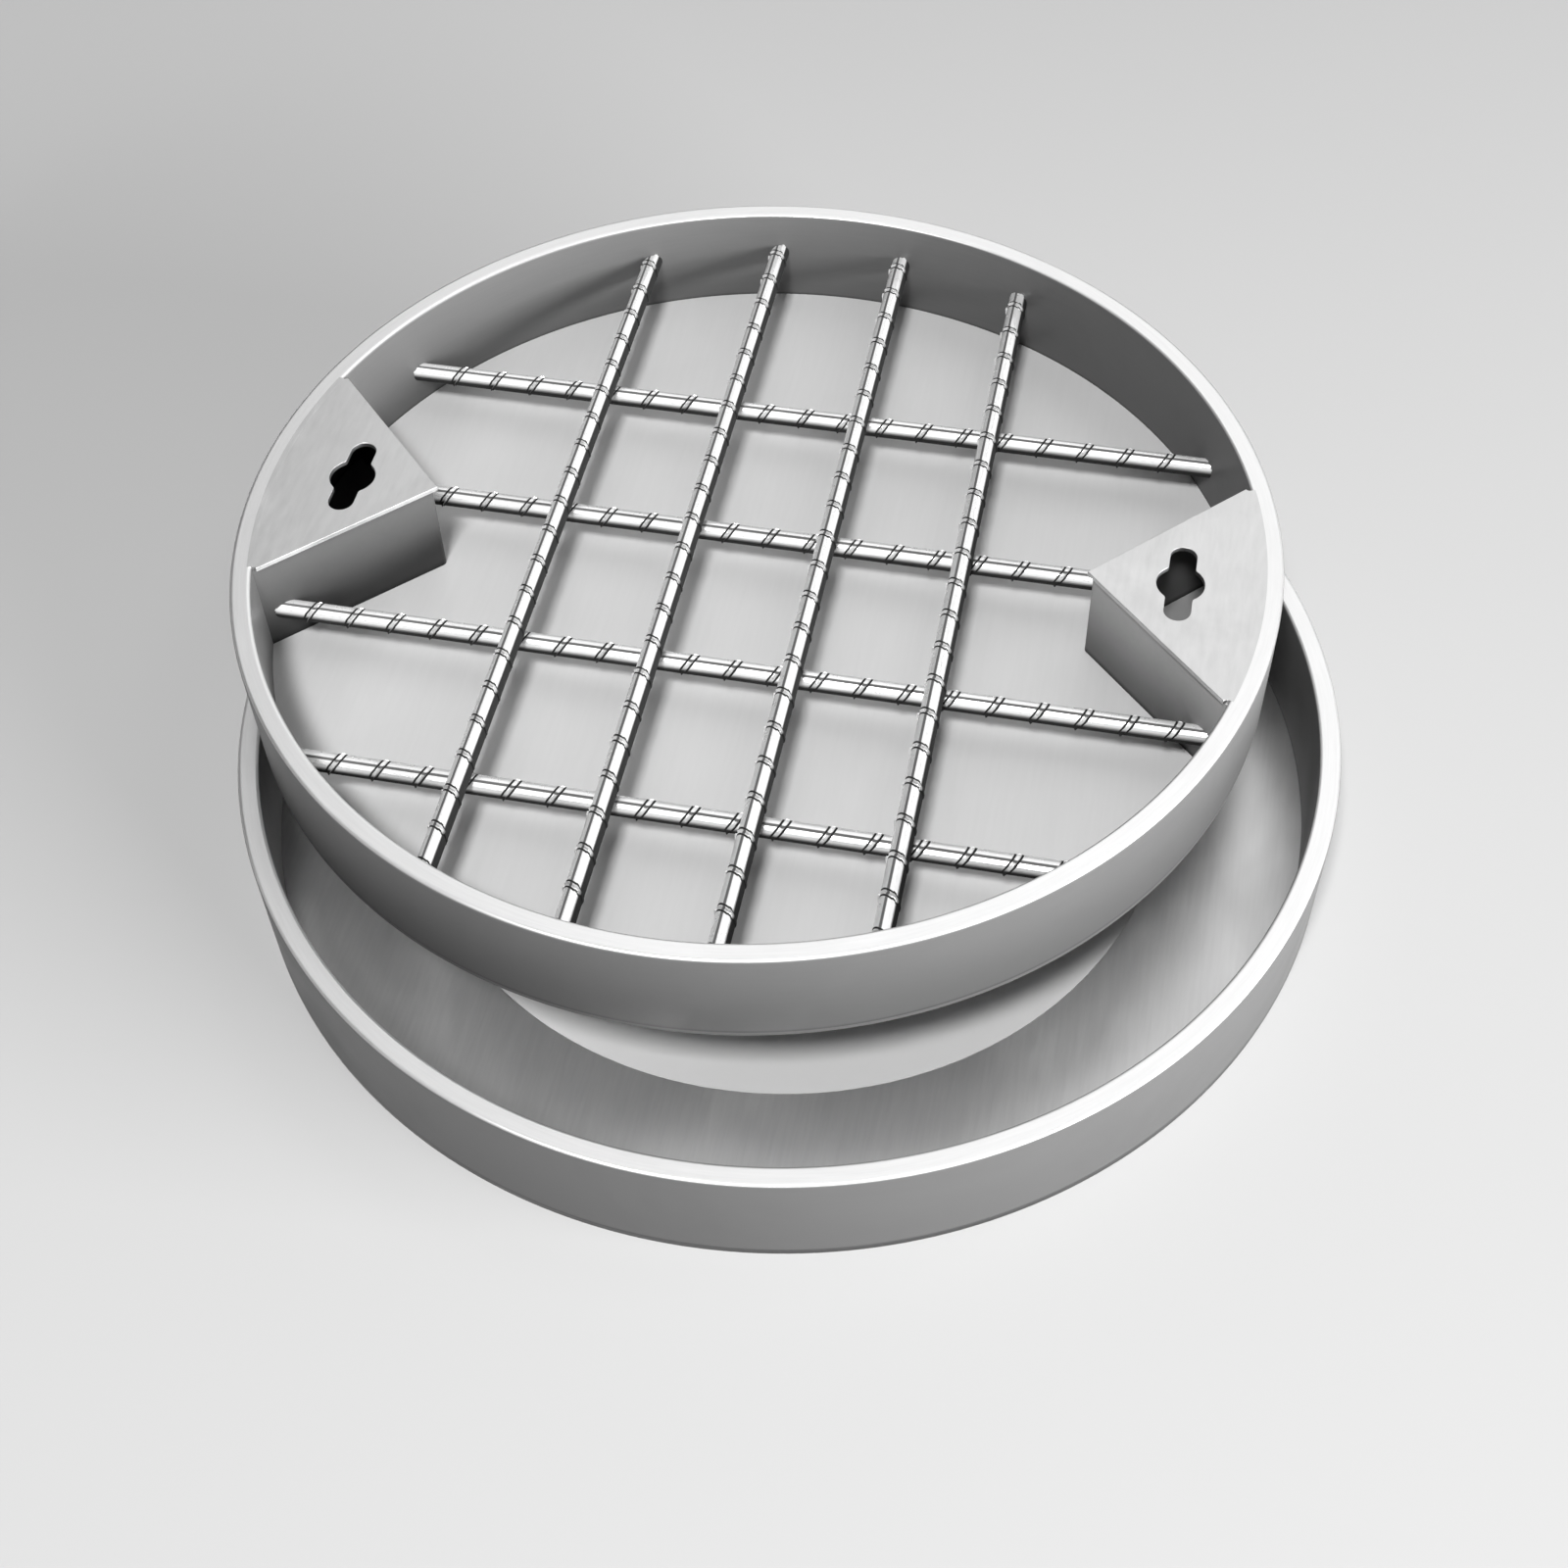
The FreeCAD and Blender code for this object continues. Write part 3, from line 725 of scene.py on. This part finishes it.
def bar_lines(tree):
    """Painted shade along both feet of every rib, and a fainter painted reflection, a dark line along the bar
    on each side of its crown.
    """
    place = add(tree, "ShaderNodeAttribute", attribute_name="bar_place").outputs["Vector"]
    parts = parts_of(tree, place)
    rib_end = add(tree, "ShaderNodeAttribute", attribute_name="rib_end").outputs["Fac"]
    along = calculate(tree, "MULTIPLY_ADD", parts["X"], -math.tan(RIB_LEAN), parts["Z"])
    to_rib = calculate(tree, "PINGPONG", along, RIB_PITCH / 2)
    from_rib = calculate(tree, "MULTIPLY", to_rib, math.cos(RIB_LEAN))
    ribbed = calculate(tree, "LESS_THAN", calculate(tree, "ABSOLUTE", parts["Z"]), rib_end)
    # Painted shade at the feet of every rib.
    feet = calculate(tree, "MULTIPLY", scale_line(tree, from_rib, ROOT_LINE_PLACE, ROOT_LINE_HALF), ribbed)
    # The painted dark reflection line along each side of the crown.
    aside = calculate(tree, "ABSOLUTE", parts["X"])
    rolled = scale_line(tree, aside, ROLL_LINE_PLACE, ROLL_LINE_HALF)
    return calculate(tree, "MAXIMUM", feet, calculate(tree, "MULTIPLY", rolled, ROLL_LINE_STRENGTH))


def bar_steel_material():
    """Bright steel, painted dark as a shade on its lower right and at its ribs' feet, with painted dark
    reflection lines along it.
    """
    material, tree, shader, spot = new_steel("ribbed_bar_steel", BAR_METALLIC)
    grain = use_group(tree, sheet_grain, {"Vector": spot, **BAR_GRAIN})["Grain"]
    # The lower right side of each bar, painted dark as a shade.
    side = add(tree, "ShaderNodeAttribute", attribute_name="scale_side").outputs["Fac"]
    scale = calculate(tree, "MAXIMUM", side, bar_lines(tree))
    tone = blend(tree, scale, BAR_TONE, SCALE_TONE)
    roughness = blend(tree, scale, BAR_ROUGHNESS, SCALE_ROUGHNESS)
    tree.links.new(blend(tree, scale, BAR_METALLIC, SCALE_METALLIC), shader.inputs["Metallic"])
    dress_steel(tree, shader, spot, grain, tone, roughness, **BAR_FINISH)
    return material


def ribbed_bar_tree():
    """One bar from its sizes: core, seams and a row of ribs, turned and ended by the wall or a box."""
    tree, given = new_group("ribbed_bar", "GeometryNodeTree", {
        "Half Length": "Float", "Core Radius": "Float", "Rib Height": "Float", "Rib Width": "Float",
        "Rib Flank": "Float", "Rib Bite": "Float", "Rib Pitch": "Float", "Rib Lean": "Float",
        "Rib Gap": "Float", "Ribs Each Way": "Int", "Seam Height": "Float", "Seam Width": "Float",
        "Seam Flank": "Float", "Scale Way": "Vector", "Turn": "Vector", "Middle": "Vector",
        "Along": "Vector", "Across": "Vector", "Tray Middle": "Vector", "Tray Radius": "Float",
        "Box Corner": "Float", "Steel": "Material"}, {"Bar": "Geometry"})

    def opposite(value):
        return calculate(tree, "MULTIPLY", value, -1.0)

    def twice(value, more=0.0):
        return calculate(tree, "MULTIPLY_ADD", value, 2.0, more)

    def upright(value):
        return add(tree, "ShaderNodeCombineXYZ", {"Z": value}).outputs[0]

    def block_outline(width, height):
        return add(tree, "GeometryNodeCurvePrimitiveQuadrilateral",
                   {"Width": width, "Height": height}).outputs[0]

    def swept(path, outline):
        return add(tree, "GeometryNodeCurveToMesh",
                   {"Curve": path, "Profile Curve": outline, "Fill Caps": True}).outputs[0]

    def dot(first, second):
        return add(tree, "ShaderNodeVectorMath", {0: first, 1: second},
                   operation="DOT_PRODUCT").outputs["Value"]

    def stored(geometry, name, value, kind):
        return add(tree, "GeometryNodeStoreNamedAttribute",
                   {"Geometry": geometry, "Name": name, "Value": value},
                   data_type=kind, domain="POINT").outputs[0]

    half = given["Half Length"]
    line = add(tree, "GeometryNodeCurvePrimitiveLine",
               {"Start": upright(opposite(half)), "End": upright(half)}).outputs[0]
    core_outline = add(tree, "GeometryNodeCurvePrimitiveCircle",
                       {"Resolution": BAR_STEPS, "Radius": given["Core Radius"]}).outputs[0]
    seam_top = calculate(tree, "ADD", given["Core Radius"], given["Seam Height"])
    seam_outline = block_outline(given["Seam Width"], twice(seam_top))
    seam_foot = calculate(tree, "MULTIPLY_ADD", given["Seam Height"], SEAM_FOOT_SHARE, given["Core Radius"])
    foot_outline = block_outline(twice(given["Seam Flank"], given["Seam Width"]), twice(seam_foot))

    crest = calculate(tree, "ADD", given["Core Radius"], given["Rib Height"])
    rib_depth = calculate(tree, "ADD", given["Rib Height"], given["Rib Bite"])
    rib_outline = add(tree, "GeometryNodeCurvePrimitiveQuadrilateral", {
        "Height": rib_depth, "Top Width": given["Rib Width"],
        "Bottom Width": twice(given["Rib Flank"], given["Rib Width"]),
        "Offset": 0.0}, mode="TRAPEZOID").outputs[0]
    crescents = add(tree, "GeometryNodeJoinGeometry")
    sweep = calculate(tree, "SUBTRACT", math.pi, twice(given["Rib Gap"]))
    rib_radius = calculate(tree, "MULTIPLY_ADD", rib_depth, -0.5, crest)
    for start in (0.0, math.pi):
        path = add(tree, "GeometryNodeCurveArc", {
            "Resolution": RIB_POINTS, "Start Angle": calculate(tree, "ADD", given["Rib Gap"], start),
            "Sweep Angle": sweep, "Radius": rib_radius}).outputs[0]
        tree.links.new(swept(path, rib_outline), crescents.inputs[0])
    lean = add(tree, "ShaderNodeCombineXYZ", {"Y": opposite(given["Rib Lean"])}).outputs[0]
    rib = add(tree, "GeometryNodeTransform", {"Geometry": crescents.outputs[0], "Rotation": lean}).outputs[0]

    first = opposite(calculate(tree, "MULTIPLY", given["Ribs Each Way"], given["Rib Pitch"]))
    places = add(tree, "GeometryNodeMeshLine", {
        "Count": twice(given["Ribs Each Way"], 1.0), "Start Location": upright(first),
        "Offset": upright(given["Rib Pitch"])}).outputs[0]
    ribs = add(tree, "GeometryNodeInstanceOnPoints", {"Points": places, "Instance": rib}).outputs[0]

    bar = add(tree, "GeometryNodeJoinGeometry")
    for part in (swept(line, core_outline), swept(line, seam_outline), swept(line, foot_outline), ribs):
        tree.links.new(part, bar.inputs[0])
    turned_bar = add(tree, "GeometryNodeTransform",
                     {"Geometry": bar.outputs[0], "Translation": given["Middle"],
                      "Rotation": given["Turn"]}).outputs[0]
    whole = add(tree, "GeometryNodeRealizeInstances", {"Geometry": turned_bar}).outputs[0]

    # Whatever runs past the tray's wall or a key box is brought back to it.
    position = add(tree, "GeometryNodeInputPosition").outputs[0]
    from_tray = vector_result(tree, "SUBTRACT", position, given["Tray Middle"])
    along = dot(from_tray, given["Along"])
    across = dot(from_tray, given["Across"])
    wall_squared = calculate(tree, "SUBTRACT", calculate(tree, "POWER", given["Tray Radius"], 2.0),
                             calculate(tree, "POWER", across, 2.0))
    box = calculate(tree, "ADD", given["Box Corner"], calculate(tree, "ABSOLUTE", across))
    limit = calculate(tree, "MINIMUM", calculate(tree, "SQRT", wall_squared), box)
    held = calculate(tree, "MAXIMUM", calculate(tree, "MINIMUM", along, limit), opposite(limit))
    shift = scaled(tree, given["Along"], calculate(tree, "SUBTRACT", held, along))
    cut = add(tree, "GeometryNodeSetPosition", {"Geometry": whole, "Offset": shift}).outputs[0]

    # Each point's place on the bar itself, and how far along the bar its ribs go.
    from_middle = vector_result(tree, "SUBTRACT", position, given["Middle"])
    place = add(tree, "ShaderNodeVectorRotate", {"Vector": from_middle, "Rotation": given["Turn"]},
                rotation_type="EULER_XYZ", invert=True).outputs[0]
    placed = stored(cut, "bar_place", place, "FLOAT_VECTOR")
    half_more = calculate(tree, "ADD", given["Ribs Each Way"], 0.5)
    rib_end = calculate(tree, "MULTIPLY", half_more, given["Rib Pitch"])
    known = stored(placed, "rib_end", rib_end, "FLOAT")

    # How far each point faces the bar's lower right, which is painted dark as a shade.
    gone = scaled(tree, given["Along"], opposite(dot(from_middle, given["Along"])))
    square = vector_result(tree, "ADD", from_middle, gone)
    lean_over = calculate(tree, "DIVIDE", dot(square, given["Scale Way"]), given["Core Radius"])
    marked = stored(known, "scale_side", straight_step(tree, lean_over, SCALE_START, SCALE_FULL), "FLOAT")
    coated = add(tree, "GeometryNodeSetMaterial", {"Geometry": marked, "Material": given["Steel"]}).outputs[0]
    add(tree, "NodeGroupOutput", {"Bar": coated})
    return tree


bar_tree = ribbed_bar_tree()
bar_steel = bar_steel_material()
bar_sockets = {item.name: item.identifier for item in bar_tree.interface.items_tree if item.in_out == "INPUT"}
bar_reach = BAR_CORE_RADIUS + RIB_HEIGHT
rib_reach = bar_reach * math.sin(RIB_LEAN) + RIB_WIDTH / 2
long_bar_height = floor_high.z + BAR_LIFT + BAR_CORE_RADIUS
cross_bar_height = long_bar_height + 2 * BAR_CORE_RADIUS + CROSSING_GAP


def ribbed_bar(name, along, across, offset, height, turn, box_corner):
    """Makes one bar with the tree and turns it into a plain mesh."""
    wall_distance = math.sqrt(tray_radius ** 2 - (abs(offset) + bar_reach) ** 2)
    clear = min(wall_distance, box_corner + abs(offset) - bar_reach)
    values = {
        "Half Length": tray_radius + RIB_PITCH, "Core Radius": BAR_CORE_RADIUS, "Rib Height": RIB_HEIGHT,
        "Rib Width": RIB_WIDTH, "Rib Flank": RIB_FLANK, "Rib Bite": RIB_BITE, "Rib Pitch": RIB_PITCH,
        "Rib Lean": RIB_LEAN, "Rib Gap": RIB_GAP, "Ribs Each Way": int((clear - rib_reach) / RIB_PITCH),
        "Seam Height": SEAM_HEIGHT, "Seam Width": SEAM_WIDTH, "Seam Flank": SEAM_FLANK,
        "Scale Way": SCALE_WAY, "Turn": turn.to_euler(),
        "Middle": tray_middle + across * offset + Vector((0, 0, height)),
        "Along": along, "Across": across, "Tray Middle": tray_middle, "Tray Radius": tray_radius + BAR_SINK,
        "Box Corner": box_corner + BAR_SINK, "Steel": bar_steel,
    }
    maker = bpy.data.objects.new(name + "_maker", bpy.data.meshes.new(name + "_maker"))
    bpy.context.scene.collection.objects.link(maker)
    nodes = maker.modifiers.new("ribbed_bar", "NODES")
    nodes.node_group = bar_tree
    for label, value in values.items():
        nodes[bar_sockets[label]] = value
    bpy.context.view_layer.update()
    mesh = bpy.data.meshes.new_from_object(maker.evaluated_get(bpy.context.evaluated_depsgraph_get()))
    bpy.data.objects.remove(maker)
    mesh.name = name
    mesh.shade_smooth()
    mesh.set_sharp_from_angle(angle=CREASE)
    bar = bpy.data.objects.new(name, mesh)
    bpy.context.scene.collection.objects.link(bar)
    return bar


X_WAY, Y_WAY, Z_WAY = Vector((1, 0, 0)), Vector((0, 1, 0)), Vector((0, 0, 1))
long_turn = Matrix.Rotation(LONG_BAR_ROLL, 3, "X") @ Matrix((Y_WAY, Z_WAY, X_WAY)).transposed()
cross_turn = Matrix.Rotation(CROSS_BAR_ROLL, 3, "Y") @ Matrix((X_WAY, Z_WAY, -Y_WAY)).transposed()
for index in range(BARS_EACH_WAY):
    step = index - (BARS_EACH_WAY - 1) / 2
    long_offset = LONG_BAR_SHIFT - step * LONG_BAR_PITCH
    cross_offset = CROSS_BAR_SHIFT + step * CROSS_BAR_PITCH
    long_bar = ribbed_bar(f"ribbed_long_bar_{index + 1}", X_WAY, Y_WAY, long_offset,
                          long_bar_height, long_turn, skirt_corner)
    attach(long_bar, "root")
    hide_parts(f"long_bar_{index + 1}")
    cross_bar = ribbed_bar(f"ribbed_cross_bar_{index + 1}", Y_WAY, X_WAY, cross_offset,
                           cross_bar_height, cross_turn, FAR_AWAY)
    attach(cross_bar, "root")
    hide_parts(f"cross_bar_{index + 1}")

# Studio: a plain pale floor, a lamp above the camera that draws the bars' shadows, a low sheet of light
# at the right, and a weak lamp high behind it. Three cards behind and one in front show only in the
# steel's reflections.

STAGE_HALF = 15.0
STAGE_DROP = 0.0003
STAGE_COLOUR = (0.54, 0.54, 0.54, 1)
STAGE_ROUGHNESS = 0.9
STAGE_SPECULAR = 0.3
WORLD_COLOUR = (1, 1, 1, 1)
WORLD_STRENGTH = 0.06
LIGHT_DISTANCE = 5.2
PHOTO_SIDE = 1600
FOCAL_PIXELS = 2291.15
PHOTO_MIDDLE = (805.926, 791.491)
CAMERA_DISTANCE = 1.35
CAMERA_ELEVATION = math.radians(51.1475)
CAMERA_ROLL = math.radians(-1.782)
CAMERA_TURN = math.radians(12.8228)
SENSOR = 36.0

stage_mesh = bpy.data.meshes.new("stage_floor")
corners = [(x * STAGE_HALF, y * STAGE_HALF, -STAGE_DROP) for x, y in ((-1, -1), (1, -1), (1, 1), (-1, 1))]
stage_mesh.from_pydata(corners, [], [(0, 1, 2, 3)])
stage_floor = bpy.data.objects.new("stage_floor", stage_mesh)
bpy.context.scene.collection.objects.link(stage_floor)
stage_paint = bpy.data.materials.new("stage_paint")
stage_paint.use_nodes = True
paint = stage_paint.node_tree.nodes["Principled BSDF"].inputs
paint["Base Color"].default_value = STAGE_COLOUR
paint["Roughness"].default_value = STAGE_ROUGHNESS
paint["Specular IOR Level"].default_value = STAGE_SPECULAR
stage_mesh.materials.append(stage_paint)

world = bpy.data.worlds.new("studio")
world.use_nodes = True
background = world.node_tree.nodes["Background"]
background.inputs["Color"].default_value = WORLD_COLOUR
background.inputs["Strength"].default_value = WORLD_STRENGTH
bpy.context.scene.world = world
bpy.context.scene.view_settings.view_transform = "Standard"


def soft_light(name, azimuth, elevation, size, radiance):
    """A flat lamp that faces the object, with its brightness given as it looks in a mirror."""
    lamp = bpy.data.lights.new(name, "AREA")
    lamp.shape = "RECTANGLE"
    lamp.size, lamp.size_y = size
    lamp.energy = radiance * math.pi * size[0] * size[1]
    light = bpy.data.objects.new(name, lamp)
    bpy.context.scene.collection.objects.link(light)
    turn, lift = math.radians(azimuth), math.radians(elevation)
    way = Vector((math.sin(turn) * math.cos(lift), -math.cos(turn) * math.cos(lift), math.sin(lift)))
    light.location = way * LIGHT_DISTANCE
    light.rotation_euler = way.to_track_quat("Z", "Y").to_euler()
    return light


for card in (
    soft_light("back_right_card", azimuth=156, elevation=46, size=(8.6, 4.6), radiance=0.96),
    soft_light("back_left_card", azimuth=222, elevation=37, size=(3.8, 2.6), radiance=0.16),
    soft_light("high_left_card", azimuth=222, elevation=68, size=(3.8, 2.2), radiance=0.65),
    soft_light("front_card", azimuth=-10, elevation=32, size=(2.6, 6.0), radiance=1.1),
):
    card.visible_diffuse = False
soft_light("shadow_lamp", azimuth=-3, elevation=62, size=(0.9, 0.9), radiance=102.0)
soft_light("right_sheet", azimuth=70, elevation=10, size=(4.4, 1.8), radiance=28.0)
soft_light("high_right", azimuth=125, elevation=58, size=(1.6, 1.6), radiance=1.5)

lens = bpy.data.cameras.new("photo_camera")
lens.sensor_width = SENSOR
lens.lens = FOCAL_PIXELS / PHOTO_SIDE * SENSOR
lens.shift_x = (PHOTO_SIDE / 2 - PHOTO_MIDDLE[0]) / PHOTO_SIDE
lens.shift_y = (PHOTO_MIDDLE[1] - PHOTO_SIDE / 2) / PHOTO_SIDE
camera = bpy.data.objects.new("photo_camera", lens)
bpy.context.scene.collection.objects.link(camera)
back = Vector((0, -math.cos(CAMERA_ELEVATION), math.sin(CAMERA_ELEVATION)))
level = Matrix((X_WAY, back.cross(X_WAY), back)).transposed()
turned_view = Matrix.Rotation(CAMERA_TURN, 3, "Z") @ level @ Matrix.Rotation(CAMERA_ROLL, 3, "Z")
camera_place = turned_view @ Vector((0, 0, CAMERA_DISTANCE))
camera.matrix_world = Matrix.Translation(camera_place) @ turned_view.to_4x4()
bpy.context.scene.camera = camera
